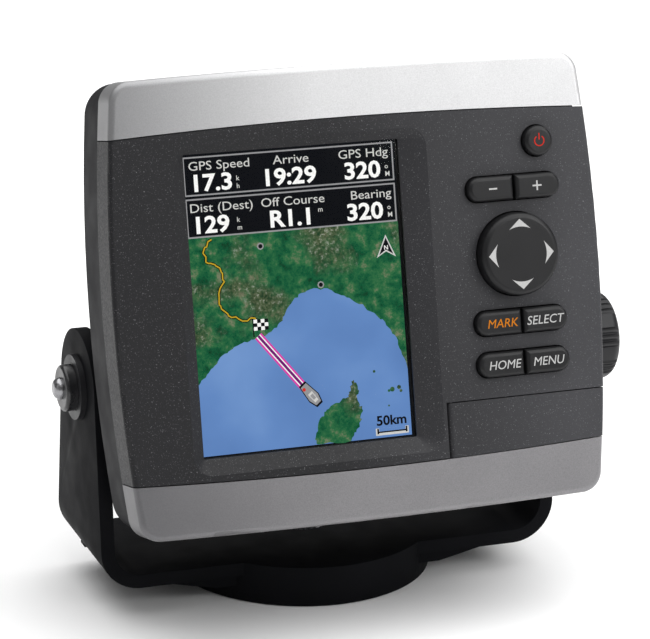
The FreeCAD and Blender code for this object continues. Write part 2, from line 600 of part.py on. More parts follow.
# ---------------------------------------------------------------- boards
def boards():
    board = case_part("main_board")
    pad(board, "XZ", "board_front", BOARD_BACK,
        box_loop("-board_wide / 2", "board_wide / 2", "-board_tall / 2", "board_tall / 2"),
        *circles(BOARDSCREWS, "boardscrew_shank"))
    screws = case_part("board_screws")
    pad(screws, "XZ", "boardscrew_tip", BOARD_BACK, *circles(BOARDSCREWS, "boardscrew_shank"))
    pad(screws, "XZ", BOARD_BACK, f"{BOARD_BACK} + boardscrew_cap", *circles(BOARDSCREWS, "boardscrew_head"))
    can = case_part("shield_can")
    pad(can, "XZ", BOARD_BACK, f"{BOARD_BACK} + can_thick", round_loop(
        "(can_x - can_wide / 2)", "(can_x + can_wide / 2)", "(can_z - can_tall / 2)", "(can_z + can_tall / 2)", "1"))
    patch = case_part("antenna_patch")
    pad(patch, "XZ", BOARD_BACK, f"{BOARD_BACK} + patch_thick", round_loop(
        "(patch_x - patch_wide / 2)", "(patch_x + patch_wide / 2)",
        "(patch_z - patch_wide / 2)", "(patch_z + patch_wide / 2)", "1.5"))
    beeper = case_part("beeper")
    pad(beeper, "XZ", BOARD_BACK, f"{BOARD_BACK} + beeper_thick", circle("beeper_x", "beeper_z", "beeper_round"))
    cell = case_part("backup_cell")
    pad(cell, "XZ", BOARD_BACK, f"{BOARD_BACK} + cell_thick", circle("cell_x", "cell_z", "cell_round"))
    casers = case_part("housing_screws")
    pad(casers, "XZ", "plate_deep", "caser_tip", *circles(CASERS, "caser_shank"))
    pad(casers, "XZ", "plate_deep - caser_cap", "plate_deep", *circles(CASERS, "caser_head"))


# ---------------------------------------------------------------- sockets on the back
def ports():
    port = case_part("power_connector")
    here = ("power_port_x", "power_port_z")
    barrel_end = "(case_deep + port_flange_thick + port_barrel_long)"
    pad(port, "XZ", "case_deep - port_tail_long", "case_deep", circle(*here, "port_tail"))
    pad(port, "XZ", "case_deep", "case_deep + port_flange_thick", circle(*here, "port_flange"))
    pad(port, "XZ", "case_deep + port_flange_thick", barrel_end, circle(*here, "port_barrel"))
    cut(port, "XZ", f"{barrel_end} - port_bore_deep", barrel_end, circle(*here, "port_bore"))
    contacts = case_part("connector_contacts")
    spots = [(f"power_port_x + {x} * contact_circle", f"power_port_z + {z} * contact_circle")
             for x, z in ((1, 0), (0, 1), (-1, 0), (0, -1))]
    pad(contacts, "XZ", f"{barrel_end} - port_bore_deep", f"{barrel_end} - port_bore_deep + contact_long",
        *circles(spots, "contact_round"))
    aerial = case_part("antenna_connector")
    there = ("aerial_x", "aerial_z")
    pad(aerial, "XZ", "case_deep - port_tail_long", "case_deep", circle(*there, "aerial_stub / 2"))
    pad(aerial, "XZ", "case_deep", "case_deep + aerial_flange_thick", circle(*there, "aerial_flange"))
    pad(aerial, "XZ", "case_deep + aerial_flange_thick", "case_deep + aerial_flange_thick + aerial_stub_long",
        circle(*there, "aerial_stub"))
    vent = case_part("vent_plug")
    pad(vent, "XZ", "case_deep - vent_stem_long", "case_deep", circle("vent_x", "vent_z", "vent_stem"))
    pad(vent, "XZ", "case_deep", "case_deep + vent_thick", circle("vent_x", "vent_z", "vent_round"))


# ---------------------------------------------------------------- pivots and knob
def across(body, low, high, radius, bore=None):
    """Disc or ring about the pivot axis, in the case's own frame."""
    loops = [circle("pivot_deep", "-pivot_drop", radius)]
    if bore:
        loops.append(circle("pivot_deep", "-pivot_drop", bore))
    return pad(body, "YZ", low, high, *loops)


def pivots():
    left_insert = case_part("left_pivot_insert")
    across(left_insert, "-pivot_face", "insert_long - pivot_face", "insert_round", "stud_round")
    right_insert = case_part("right_pivot_insert")
    across(right_insert, "pivot_face - insert_long", "pivot_face", "insert_round", "stud_round + 0.05")
    plate_out = "(arm_out + plate_thick)"
    cap_out = f"({plate_out} + slip_gap + cap_thick)"
    cap = case_part("left_pivot_cap")
    across(cap, f"-{cap_out}", f"-{plate_out} - slip_gap", "cap_round", "stud_round")
    soften(cap, "cap_soft", lambda edge: lies_at(edge, "x", -number(cap_out)) and spread(edge) > number("cap_round"))
    screw = case_part("left_pivot_screw")
    across(screw, f"-{cap_out}", "insert_long - pivot_face - 1", "stud_round")
    across(screw, f"-{cap_out} - dome_head_thick", f"-{cap_out}", "dome_head")
    head = number(f"-{cap_out} - dome_head_thick")
    soften(screw, "dome_head_thick - 0.2", lambda edge: lies_at(edge, "x", head))
    stud = case_part("knob_stud")
    across(stud, "pivot_face - insert_long + 1", "arm_out + knob_gap + knob_bore_long", "stud_round")
    knob = case_part("clamp_knob")
    inner = "(arm_out + plate_thick + knob_gap)"
    outer = f"({inner} + knob_long)"
    across(knob, inner, outer, "knob_round")
    soften(knob, "knob_soft", lambda edge: lies_at(edge, "x", number(outer)))
    cut(knob, "YZ", inner, "arm_out + knob_gap + knob_bore_long", circle("pivot_deep", "-pivot_drop", "stud_round"))
    grips = []
    for group in range(SIZES["grip_groups"]):
        for step in (-1, 0, 1):
            turn = f"({group} * 360 / grip_groups + {step} * grip_turn)"
            grips.append(circle(f"pivot_deep + knob_round * cos({turn})", f"-pivot_drop + knob_round * sin({turn})",
                                "grip_round"))
    cut(knob, "YZ", f"{inner} + 2", outer, *grips)


def spread(edge):
    low, high = span(edge, "y")
    return high - low


# ---------------------------------------------------------------- bracket
def upright_ring(label, low, high, radius, bore):
    """Ring about the pivot axis that stays with the bracket."""
    body = start_part(label)
    pad(body, "YZ", low, high, circle("-pivot_ahead", "pivot_high", radius), circle("-pivot_ahead", "pivot_high", bore))


def bail_bracket():
    body = start_part("bail_bracket")
    crown = "(pivot_high + arm_round + 5)"
    pad(body, "XZ", "-strap_front", "arm_foot_back", [
        ("-arm_out", crown), ("-arm_out", "strap_low + bend_out", "bend_out"),
        ("-arm_out + bend_out", "strap_low"), ("arm_out - bend_out", "strap_low", "bend_out"),
        ("arm_out", "strap_low + bend_out"), ("arm_out", crown), (ARM_IN, crown),
        (ARM_IN, f"{STRAP_TOP} + bend_in", "-bend_in"), (f"{ARM_IN} - bend_in", STRAP_TOP),
        (f"-{ARM_IN} + bend_in", STRAP_TOP, "-bend_in"), (f"-{ARM_IN}", f"{STRAP_TOP} + bend_in"),
        (f"-{ARM_IN}", crown)])
    foot = "(strap_low + bend_out)"
    cut(body, "YZ", "-arm_out - 1", "arm_out + 1", [
        ("-strap_front - 1", foot), ("-strap_front", foot),
        ("-pivot_ahead - arm_round", "pivot_high", "-arm_round"), ("-pivot_ahead", "pivot_high + arm_round", "-arm_round"),
        ("-pivot_ahead + arm_round", "pivot_high"), ("arm_foot_back", foot), ("arm_foot_back + 1", foot),
        ("arm_foot_back + 1", f"{crown} + 1"), ("-strap_front - 1", f"{crown} + 1")])
    pad(body, "XZ", "-strap_front + brace_inset", "arm_foot_back - brace_inset", [
        ("-brace_foot", "brace_low"), ("brace_foot", "brace_low"),
        ("brace_long", "strap_low + 0.5"), ("-brace_long", "strap_low + 0.5")])
    for side in (-1, 1):
        root = f"{side} * ({ARM_IN} + 1)"
        rib = [(root, f"{STRAP_TOP} - 1"), (root, f"{STRAP_TOP} + rib_tall"),
               (f"{side} * ({ARM_IN} - rib_wide)", f"{STRAP_TOP} - 1")]
        pad(body, "XZ", "rib_back - rib_thick", "rib_back", rib if side > 0 else rib[::-1])
    pad(body, "XY", "hub_lift", STRAP_TOP, circle("0", "0", "hub_round"))
    cut(body, "XY", "0", "strap_low", circle("0", "0", "base_round + base_gap"))
    cut(body, "XY", "strap_low", "strap_low + relief_deep",
        circle("0", "0", "bolt_circle + relief_wide"), circle("0", "0", "bolt_circle - relief_wide"))
    cut(body, "XY", f"{STRAP_TOP} - well_deep", STRAP_TOP, circle("0", "0", "well_round"))
    cut(body, "XY", "strap_low", STRAP_TOP, circle("0", "0", "swivel_pin + slip_gap"))
    cut(body, "YZ", "-arm_out - 1", "arm_out + 1", circle("-pivot_ahead", "pivot_high", "stud_round + stud_play"))


def swivel():
    base = start_part("swivel_base")
    bolts = [(f"bolt_circle * {x}", f"bolt_circle * {y}") for x, y in ((1, 0), (0, 1), (-1, 0), (0, -1))]
    top = "(strap_low - slip_gap)"
    pad(base, "XY", "foot_thick", top, circle("0", "0", "base_round"))
    cut(base, "XY", "0", top, circle("0", "0", "swivel_pin + slip_gap"), *circles(bolts, "bolt_hole"))
    cut(base, "XY", f"{top} - bolt_sink", top, *circles(bolts, "bolt_head"))
    cut(base, "XY", "0", "nut_low + nut_thick", circle("0", "0", "nut_round + 0.4"))
    foot = start_part("foot_gasket")
    pad(foot, "XY", "0", "foot_thick", circle("0", "0", "base_round"), circle("0", "0", "nut_round + 0.4"),
        *circles(bolts, "bolt_hole"))
    nut = start_part("swivel_nut")
    corners = [(f"nut_round * cos({60 * count})", f"nut_round * sin({60 * count})") for count in range(6)]
    pad(nut, "XY", "nut_low", "nut_low + nut_thick", corners, circle("0", "0", "swivel_pin"))
    well = f"({STRAP_TOP} - well_deep + slip_gap / 2)"
    disc = start_part("swivel_washer")
    pad(disc, "XY", well, f"{well} + swivel_disc_thick", circle("0", "0", "swivel_disc"), circle("0", "0", "swivel_pin"))
    screw = start_part("swivel_screw")
    pad(screw, "XY", "nut_low + 0.3", f"{well} + swivel_disc_thick", circle("0", "0", "swivel_pin"))
    head_low = f"({well} + swivel_disc_thick)"
    pad(screw, "XY", head_low, f"{head_low} + swivel_head_tall", circle("0", "0", "swivel_head"))
    soften(screw, "swivel_head_tall / 2", lambda edge: lies_at(edge, "z", number(f"{head_low} + swivel_head_tall")))
    cut(screw, "XY", f"{head_low} + swivel_head_tall - 1.4", f"{head_low} + swivel_head_tall",
        [(f"2.5 * cos({60 * count})", f"2.5 * sin({60 * count})") for count in range(6)])


front_frame()
trim("top_trim", 1)
trim("bottom_trim", -1)
housing_gasket()
rear_housing()
display_stack()
keypad()
card_door()
boards()
ports()
pivots()
bail_bracket()
upright_ring("left_friction_washer", "-arm_out + arm_thick", "-pivot_face - friction_gap", "friction_round",
             "stud_round + stud_play")
upright_ring("right_friction_washer", "pivot_face + friction_gap", ARM_IN, "friction_round",
             "stud_round + stud_play")
upright_ring("left_pivot_plate", "-arm_out - plate_thick", "-arm_out", "plate_round", "stud_round + stud_play")
upright_ring("right_pivot_plate", "arm_out", "arm_out + plate_thick", "plate_round", "stud_round + stud_play")
swivel()
doc.recompute()

faults = [item.Name for item in doc.Objects if {"Invalid", "Error"} & set(item.State)]
faults += [body.Label for body in PARTS if body.Shape.isNull() or not body.Shape.isValid()]
if faults:
    raise SystemExit(f"features that did not build: {faults}")
os.makedirs("parts", exist_ok=True)
for body in PARTS:
    body.Shape.exportStep(f"parts/{body.Label}.step")
print(f"{len(PARTS)} parts written")
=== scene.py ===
import json
import math
import random

import bmesh
import bpy
from mathutils import Matrix, Vector
from mathutils.geometry import tessellate_polygon


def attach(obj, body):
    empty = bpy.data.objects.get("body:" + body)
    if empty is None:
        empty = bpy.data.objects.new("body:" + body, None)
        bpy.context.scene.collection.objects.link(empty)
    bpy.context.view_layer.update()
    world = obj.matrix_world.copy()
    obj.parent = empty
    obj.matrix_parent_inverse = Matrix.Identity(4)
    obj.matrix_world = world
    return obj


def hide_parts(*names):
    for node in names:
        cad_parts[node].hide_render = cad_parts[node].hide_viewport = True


MM = 0.001
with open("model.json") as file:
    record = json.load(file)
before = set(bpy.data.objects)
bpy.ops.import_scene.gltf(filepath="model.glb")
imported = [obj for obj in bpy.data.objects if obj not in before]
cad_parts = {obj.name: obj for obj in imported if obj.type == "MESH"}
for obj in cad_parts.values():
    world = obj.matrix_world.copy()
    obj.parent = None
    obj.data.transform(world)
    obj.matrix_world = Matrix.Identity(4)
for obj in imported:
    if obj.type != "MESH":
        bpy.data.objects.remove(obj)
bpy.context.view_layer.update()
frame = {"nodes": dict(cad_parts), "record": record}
NODES = frame["nodes"]
random.seed(7)

# ---------------------------------------------------------------- where the case stands
TILT = math.radians(15.25)
PIVOT_HIGH, PIVOT_AHEAD, PIVOT_DEEP, PIVOT_DROP = 61.0, 4.5, 50.0, 22.5
CASE_Y = -PIVOT_AHEAD - PIVOT_DEEP * math.cos(TILT) + PIVOT_DROP * math.sin(TILT)
CASE_Z = PIVOT_HIGH + PIVOT_DEEP * math.sin(TILT) + PIVOT_DROP * math.cos(TILT)
CASE = Matrix.Translation(Vector((0, CASE_Y, CASE_Z)) * MM) @ Matrix.Rotation(-TILT, 4, "X")
SCREEN_X = -17.2
PICTURE_Y = 5.16      # depth of the display's front face behind the case front
KEY_FRONT = -2.5
LAYER_STEP = 0.03     # between one layer of the picture and the next
PATCH_THICK = 0.02
LETTER_THICK = 0.01
LEGEND_PROUD = 0.028
LEGEND_THICK = 0.03


def on_case(x, y, z):
    """Case millimetres (across, depth behind the face, up) to row metres."""
    return CASE @ (Vector((x, y, z)) * MM)


# ---------------------------------------------------------------- materials
# painted shade: the colour the bezel darkens to at its left end, standing in for shadow
BEZEL_LEFT_SHADE = (0.005, 0.005, 0.006)
# painted shade: the colour the silver bands darken to at their left end
SILVER_LEFT_SHADE = (0.09, 0.09, 0.095)
PANE_INDEX = 1.3


class Shade:
    """A small helper that builds a node material."""

    def __init__(self, name):
        self.mat = bpy.data.materials.new(name)
        self.mat.use_nodes = True
        self.tree = self.mat.node_tree
        self.tree.nodes.clear()
        self.out = self.node("ShaderNodeOutputMaterial")
        self.place = self.node("ShaderNodeTexCoord").outputs["Object"]

    def node(self, kind, **values):
        made = self.tree.nodes.new(kind)
        for key, value in values.items():
            setattr(made, key, value)
        return made

    def link(self, a, b):
        self.tree.links.new(a, b)

    def noise(self, scale, detail=3.0, rough=0.5):
        made = self.node("ShaderNodeTexNoise")
        made.inputs["Scale"].default_value = scale
        made.inputs["Detail"].default_value = detail
        made.inputs["Roughness"].default_value = rough
        self.link(self.place, made.inputs["Vector"])
        return made.outputs["Fac"]

    def stretched(self, scale, stretch):
        """Noise drawn out along an axis, as brushed lines are."""
        made = self.node("ShaderNodeTexNoise")
        turn = self.node("ShaderNodeMapping")
        turn.inputs["Scale"].default_value = stretch
        made.inputs["Scale"].default_value = scale
        self.link(self.place, turn.inputs["Vector"])
        self.link(turn.outputs["Vector"], made.inputs["Vector"])
        return made.outputs["Fac"]

    def ramp(self, source, stops):
        made = self.node("ShaderNodeValToRGB")
        while len(made.color_ramp.elements) < len(stops):
            made.color_ramp.elements.new(0.5)
        for element, (place, colour) in zip(made.color_ramp.elements, stops):
            element.position = place
            element.color = (*colour, 1.0)
        self.link(source, made.inputs["Fac"])
        return made.outputs["Color"]

    def remap(self, source, low, high, to_low, to_high):
        made = self.node("ShaderNodeMapRange")
        made.inputs["From Min"].default_value = low
        made.inputs["From Max"].default_value = high
        made.inputs["To Min"].default_value = to_low
        made.inputs["To Max"].default_value = to_high
        self.link(source, made.inputs["Value"])
        return made.outputs["Result"]

    def blend(self, factor, first, second):
        made = self.node("ShaderNodeMix", data_type="RGBA")
        self.link(factor, made.inputs["Factor"])
        for socket, value in ((made.inputs["A"], first), (made.inputs["B"], second)):
            if isinstance(value, tuple):
                socket.default_value = (*value, 1.0)
            else:
                self.link(value, socket)
        return made.outputs["Result"]

    def bump(self, height, strength, distance):
        made = self.node("ShaderNodeBump")
        made.inputs["Strength"].default_value = strength
        made.inputs["Distance"].default_value = distance
        self.link(height, made.inputs["Height"])
        return made.outputs["Normal"]

    def surface(self, colour, rough, normal=None, metallic=0.0, specular=0.5, **more):
        made = self.node("ShaderNodeBsdfPrincipled")
        made.inputs["Metallic"].default_value = metallic
        made.inputs["Specular IOR Level"].default_value = specular
        for key, value in more.items():
            made.inputs[key.replace("_", " ")].default_value = value
        for socket, value in (("Base Color", colour), ("Roughness", rough), ("Normal", normal)):
            if value is None:
                continue
            if isinstance(value, tuple):
                made.inputs[socket].default_value = (*value, 1.0)
            elif isinstance(value, float):
                made.inputs[socket].default_value = value
            else:
                self.link(value, made.inputs[socket])
        self.link(made.outputs["BSDF"], self.out.inputs["Surface"])
        return made


def worn(name, dark, light, rough, grain=900.0, depth=0.00004, **more):
    """Even moulded or cast surface: cloudy colour, cloudy gloss, fine bump."""
    shade = Shade(name)
    cloud = shade.noise(38.0, 4.0)
    colour = shade.ramp(cloud, [(0.3, dark), (0.72, light)])
    gloss = shade.remap(shade.noise(120.0, 3.0), 0.3, 0.7, rough - 0.06, rough + 0.06)
    normal = shade.bump(shade.noise(grain * 1.6, 2.0), 0.35, depth)
    shade.surface(colour, gloss, normal, **more)
    return shade.mat


def flecked(name, base, fleck, rough, specular):
    """Textured moulding with a fine metallic fleck, and painted shade that darkens it towards its left end.
    """
    shade = Shade(name)
    darker, lighter = (tuple(part * share for part in base) for share in (0.9, 1.1))
    cloud = shade.ramp(shade.noise(30.0, 3.0), [(0.3, darker), (0.7, lighter)])
    dots = shade.remap(shade.noise(3400.0, 1.0, 0.4), 0.66, 0.80, 0.0, 0.8)
    across = shade.node("ShaderNodeSeparateXYZ")
    shade.link(shade.place, across.inputs["Vector"])
    # painted shade: the bezel is darkened towards its left end, as if lit from the right
    left_shade_share = shade.remap(across.outputs["X"], -0.01, 0.062, 0.85, 0.0)
    cloud = shade.blend(left_shade_share, cloud, BEZEL_LEFT_SHADE)
    colour = shade.blend(dots, cloud, fleck)
    gloss = shade.remap(shade.noise(1500.0, 2.0), 0.3, 0.7, rough - 0.08, rough + 0.08)
    normal = shade.bump(shade.noise(2100.0, 3.0), 0.55, 0.00006)
    shade.surface(colour, gloss, normal, specular=specular)
    return shade.mat


def silver(name):
    """Silver paint, with painted light: paler on the upper band as if lit from above, and painted shade at
    the left end.
    """
    shade = Shade(name)
    axes = shade.node("ShaderNodeSeparateXYZ")
    shade.link(shade.place, axes.inputs["Vector"])
    flake = shade.noise(3200.0, 2.0)
    # painted light: the upper band is a lit copy of the paint and the lower band a shaded copy, blended by
    # height
    upper = shade.ramp(flake, [(0.3, (0.50, 0.50, 0.505)), (0.7, (0.60, 0.60, 0.605))])
    lower = shade.ramp(flake, [(0.3, (0.190, 0.186, 0.193)), (0.7, (0.245, 0.239, 0.247))])
    height = shade.remap(axes.outputs["Z"], 0.06, 0.13, 0.0, 1.0)
    # painted shade at the left end of the bands, as if lit from the right
    silver_shade_share = shade.remap(axes.outputs["X"], -0.071, -0.01, 0.75, 0.0)
    colour = shade.blend(silver_shade_share, shade.blend(height, lower, upper), SILVER_LEFT_SHADE)
    gloss = shade.remap(shade.noise(90.0, 3.0), 0.3, 0.7, 0.40, 0.48)
    normal = shade.bump(shade.noise(2600.0, 2.0), 0.12, 0.00002)
    shade.surface(colour, gloss, normal, metallic=0.55, Coat_Weight=0.15, Coat_Roughness=0.3)
    return shade.mat


def metal(name, dark, light, rough, brushed=(1.0, 1.0, 1.0)):
    """Bare metal with a cloudy colour and fine lines of uneven gloss."""
    shade = Shade(name)
    colour = shade.ramp(shade.noise(60.0, 4.0), [(0.3, dark), (0.7, light)])
    lines = shade.stretched(900.0, brushed)
    gloss = shade.remap(lines, 0.3, 0.7, rough - 0.08, rough + 0.1)
    shade.surface(colour, gloss, shade.bump(lines, 0.15, 0.00002), metallic=1.0)
    return shade.mat


def window(name):
    """Clear bonded pane: see-through, with a faint smudged reflection on its outer faces only."""
    shade = Shade(name)
    clear = shade.node("ShaderNodeBsdfTransparent")
    shine = shade.node("ShaderNodeBsdfGlossy")
    smudge = shade.remap(shade.noise(60.0, 4.0), 0.35, 0.7, 0.04, 0.14)
    shade.link(smudge, shine.inputs["Roughness"])
    fresnel = shade.node("ShaderNodeFresnel")
    fresnel.inputs["IOR"].default_value = PANE_INDEX
    side = shade.node("ShaderNodeNewGeometry")
    outer = shade.remap(side.outputs["Backfacing"], 0.0, 1.0, 1.0, 0.0)
    mirror = shade.node("ShaderNodeMath", operation="MULTIPLY")
    shade.link(fresnel.outputs["Fac"], mirror.inputs[0])
    shade.link(outer, mirror.inputs[1])
    blend = shade.node("ShaderNodeMixShader")
    shade.link(mirror.outputs["Value"], blend.inputs["Fac"])
    shade.link(clear.outputs["BSDF"], blend.inputs[1])
    shade.link(shine.outputs["BSDF"], blend.inputs[2])
    shade.link(blend.outputs["Shader"], shade.out.inputs["Surface"])
    return shade.mat


def lit(name, colour, strength, speckle=0.06):
    """A glowing patch with a faint cell-to-cell unevenness: the display's picture, and also the printed key
    legends, which are made to glow as painted light.
    """
    shade = Shade(name)
    grain = shade.remap(shade.noise(1800.0, 1.0), 0.3, 0.7, 1.0 - speckle, 1.0 + speckle)
    glow = shade.node("ShaderNodeEmission")
    tint = shade.node("ShaderNodeVectorMath", operation="MULTIPLY")
    tint.inputs[0].default_value = colour
    shade.link(grain, tint.inputs[1])
    shade.link(tint.outputs["Vector"], glow.inputs["Color"])
    glow.inputs["Strength"].default_value = strength
    shade.link(glow.outputs["Emission"], shade.out.inputs["Surface"])
    return shade.mat


def glowing(shade, colour):
    """Ends a shade as plain light of the given colour."""
    glow = shade.node("ShaderNodeEmission")
    shade.link(colour, glow.inputs["Color"])
    shade.link(glow.outputs["Emission"], shade.out.inputs["Surface"])
    return shade.mat


def land(name):
    """Chart land seen from above: woods, meadow, bare rock and scattered pale spots."""
    shade = Shade(name)
    woods = shade.ramp(shade.noise(260.0, 9.0, 0.72), [
        (0.32, (0.004, 0.040, 0.016)), (0.45, (0.006, 0.095, 0.038)),
        (0.56, (0.030, 0.150, 0.055)), (0.68, (0.210, 0.215, 0.135))])
    rock = shade.ramp(shade.noise(900.0, 6.0, 0.75), [
        (0.38, (0.012, 0.030, 0.012)), (0.55, (0.100, 0.120, 0.060)), (0.68, (0.55, 0.54, 0.48))])
    patches = shade.remap(shade.noise(55.0, 4.0), 0.50, 0.64, 0.0, 0.85)
    return glowing(shade, shade.blend(patches, woods, rock))


def sea(name):
    """Open water with soft paler and darker currents."""
    shade = Shade(name)
    water = shade.ramp(shade.noise(45.0, 3.0, 0.4), [
        (0.30, (0.105, 0.215, 0.480)), (0.52, (0.125, 0.250, 0.540)), (0.74, (0.170, 0.310, 0.610))])
    return glowing(shade, water)


SLOTS = {
    "frame_plastic": flecked("bezel_plastic", (0.040, 0.040, 0.044), (0.20, 0.20, 0.21), 0.50, 0.25),
    "silver_paint": silver("band_paint"),
    "housing_plastic": worn("housing_plastic", (0.012, 0.012, 0.0135), (0.017, 0.017, 0.019), 0.55,
                            specular=0.08),
    "bracket_plastic": worn("bracket_plastic", (0.0045, 0.0047, 0.0055), (0.0070, 0.0072, 0.0085), 0.55,
                            specular=0.03),
    "key_rubber": worn("key_rubber", (0.0060, 0.0060, 0.0068), (0.0090, 0.0090, 0.0098), 0.42,
                       grain=1500.0, specular=0.30),
    "seal_rubber": worn("seal_rubber", (0.004, 0.004, 0.004), (0.008, 0.008, 0.009), 0.6, specular=0.2),
    "window_glass": window("window_glass"),
    "panel_glass": worn("panel_glass", (0.006, 0.007, 0.009), (0.010, 0.011, 0.014), 0.15),
    "tray_plastic": worn("tray_plastic", (0.30, 0.30, 0.31), (0.38, 0.38, 0.39), 0.5),
    "board_green": worn("board_green", (0.012, 0.085, 0.040), (0.020, 0.120, 0.055), 0.3, grain=400.0),
    "tin_steel": metal("tin_steel", (0.55, 0.55, 0.52), (0.66, 0.66, 0.62), 0.35, (1.0, 8.0, 1.0)),
    "screw_steel": metal("screw_steel", (0.16, 0.16, 0.17), (0.30, 0.30, 0.31), 0.26),
    "brass": metal("brass", (0.55, 0.38, 0.14), (0.72, 0.53, 0.24), 0.3),
    "ceramic": worn("ceramic", (0.55, 0.50, 0.40), (0.66, 0.61, 0.50), 0.6),
    "black_plastic": worn("black_plastic", (0.010, 0.010, 0.011), (0.016, 0.016, 0.018), 0.3),
    "knob_plastic": worn("knob_plastic", (0.009, 0.009, 0.0105), (0.014, 0.014, 0.016), 0.42,
                         specular=0.3),
}

node_slot = {part["node"]: part["material_slot"] for part in frame["record"]["subparts"]}
for name, piece in NODES.items():
    piece.data.materials.clear()
    piece.data.materials.append(SLOTS[node_slot[name]])

# painted light: the printed key legends are made to glow instead of being lit
INK_GLOW = lit("legend_white", (0.80, 0.80, 0.79), 0.75)
ORANGE_GLOW = lit("legend_orange", (0.85, 0.27, 0.02), 0.8)
RED_GLOW = lit("legend_red", (0.75, 0.045, 0.03), 0.8)
BLACK = lit("picture_black", (0.0035, 0.0042, 0.006), 1.0)
GREY = lit("picture_grey", (0.30, 0.30, 0.31), 1.0)
PALE = lit("picture_pale", (0.62, 0.62, 0.60), 1.0)
WHITE = lit("picture_white", (0.95, 0.95, 0.93), 1.0)
MAGENTA = lit("picture_magenta", (0.68, 0.05, 0.38), 1.0)
PURPLE = lit("picture_purple", (0.16, 0.012, 0.16), 1.0)
YELLOW = lit("picture_yellow", (0.55, 0.36, 0.02), 1.0)
LAND = land("picture_land")
SEA = sea("picture_sea")


# ---------------------------------------------------------------- flat drawing on the case
def finish_piece(name, mesh, material, body):
    piece = bpy.data.objects.new(name, mesh)
    bpy.context.scene.collection.objects.link(piece)
    piece.data.materials.append(material)
    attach(piece, body)
    return piece


def prisms(name, outlines, depth, material, body="case", thick=PATCH_THICK,
           offset=(0.0, 0.0)):
    """Thin raised patches: each outline is a list of (across, up) in case millimetres."""
    verts, faces = [], []
    for outline in outlines:
        area = sum(a[0] * b[1] - b[0] * a[1] for a, b in zip(outline, outline[1:] + outline[:1]))
        ring = outline if area > 0 else outline[::-1]
        start, count = len(verts), len(ring)
        shifted = [(x + offset[0], z + offset[1]) for x, z in ring]
        verts += [on_case(x, depth, z) for x, z in shifted]
        verts += [on_case(x, depth + thick, z) for x, z in shifted]
        for triangle in tessellate_polygon([[Vector((x, z, 0)) for x, z in shifted]]):
            a, b, c = [shifted[i] for i in triangle]
            turn = (b[0] - a[0]) * (c[1] - a[1]) - (b[1] - a[1]) * (c[0] - a[0])
            front = triangle if turn > 0 else triangle[::-1]
            faces.append([start + i for i in front])
            faces.append([start + count + i for i in reversed(front)])
        for i in range(count):
            j = (i + 1) % count
            faces.append([start + j, start + i, start + count + i, start + count + j])
    mesh = bpy.data.meshes.new(name)
    mesh.from_pydata(verts, [], faces)
    return finish_piece(name, mesh, material, body)


def stroke(points, width):
    """Outline of a band of the given width along a bent line."""
    left, right = [], []
    for i, point in enumerate(points):
        before, after = points[max(i - 1, 0)], points[min(i + 1, len(points) - 1)]
        dx, dz = after[0] - before[0], after[1] - before[1]
        size = math.hypot(dx, dz)
        nx, nz = -dz / size * width / 2, dx / size * width / 2
        left.append((point[0] + nx, point[1] + nz))
        right.append((point[0] - nx, point[1] - nz))
    return left + right[::-1]


def segments(points, width):
    """One thin band for each stretch of a bent line, so that sharp bends stay clean."""
    return [stroke([a, b], width) for a, b in zip(points, points[1:])]


def arc(cx, cz, radius, start, stop, steps):
    turns = [math.radians(start + (stop - start) * i / steps) for i in range(steps + 1)]
    return [(cx + radius * math.cos(t), cz + radius * math.sin(t)) for t in turns]


def circle(cx, cz, radius, steps):
    return arc(cx, cz, radius, 0, 360 - 360 / steps, steps - 1)


def frame_lines(left, right, low, top, width):
    """The four sides of a rectangular outline as bands of the given width."""
    return [
        [(left, low), (right, low), (right, low + width), (left, low + width)],
        [(left, top - width), (right, top - width), (right, top), (left, top)],
        [(left, low), (left + width, low), (left + width, top), (left, top)],
        [(right - width, low), (right, low), (right, top), (right - width, top)],
    ]


def text(name, words, x, z, size, depth, material, body="case", slot="panel_glass", align="LEFT",
         bold=0.0, stretch=1.0, slant=0.0):
    """Words as a thin mesh, baseline at (x, z) in case millimetres, size in millimetres."""
    curve = bpy.data.curves.new(name, "FONT")
    curve.body = words
    curve.size = size
    curve.align_x = align
    curve.offset = bold
    curve.shear = slant
    curve.extrude = LETTER_THICK
    curve.resolution_u = 3
    scratch = bpy.data.objects.new(name, curve)
    bpy.context.scene.collection.objects.link(scratch)
    bpy.context.view_layer.update()
    mesh = bpy.data.meshes.new_from_object(scratch)
    bpy.data.objects.remove(scratch)
    for vertex in mesh.vertices:
        vertex.co = on_case(x + vertex.co.x * stretch, depth - vertex.co.z, z + vertex.co.y)
    mesh.materials.clear()
    return finish_piece(name, mesh, material, body)


# ---------------------------------------------------------------- picture on the display
HALF_W, HALF_T = 30.5, 40.65


def picture(name, outlines, layer, material):
    """Patches on the display, in millimetres from its middle; a higher layer lies nearer the eye."""
    return prisms(name, outlines, PICTURE_Y - LAYER_STEP * layer, material, offset=(SCREEN_X, 0.0))


def picture_text(name, words, u, v, size, layer, material, **more):
    return text(name, words, u + SCREEN_X, v, size, PICTURE_Y - LAYER_STEP * layer, material, **more)


def rectangle(left, right, low, top):
    return [(left, low), (right, low), (right, top), (left, top)]


def rugged(points, amount, steps=5):
    """The same line with small seeded wiggles between its points."""
    out = []
    for a, b in zip(points, points[1:]):
        for i in range(steps):
            f = i / steps
            shake = amount if i else amount * 0.3
            out.append((a[0] + (b[0] - a[0]) * f + random.uniform(-shake, shake),
                        a[1] + (b[1] - a[1]) * f + random.uniform(-shake, shake)))
    return out + [points[-1]]


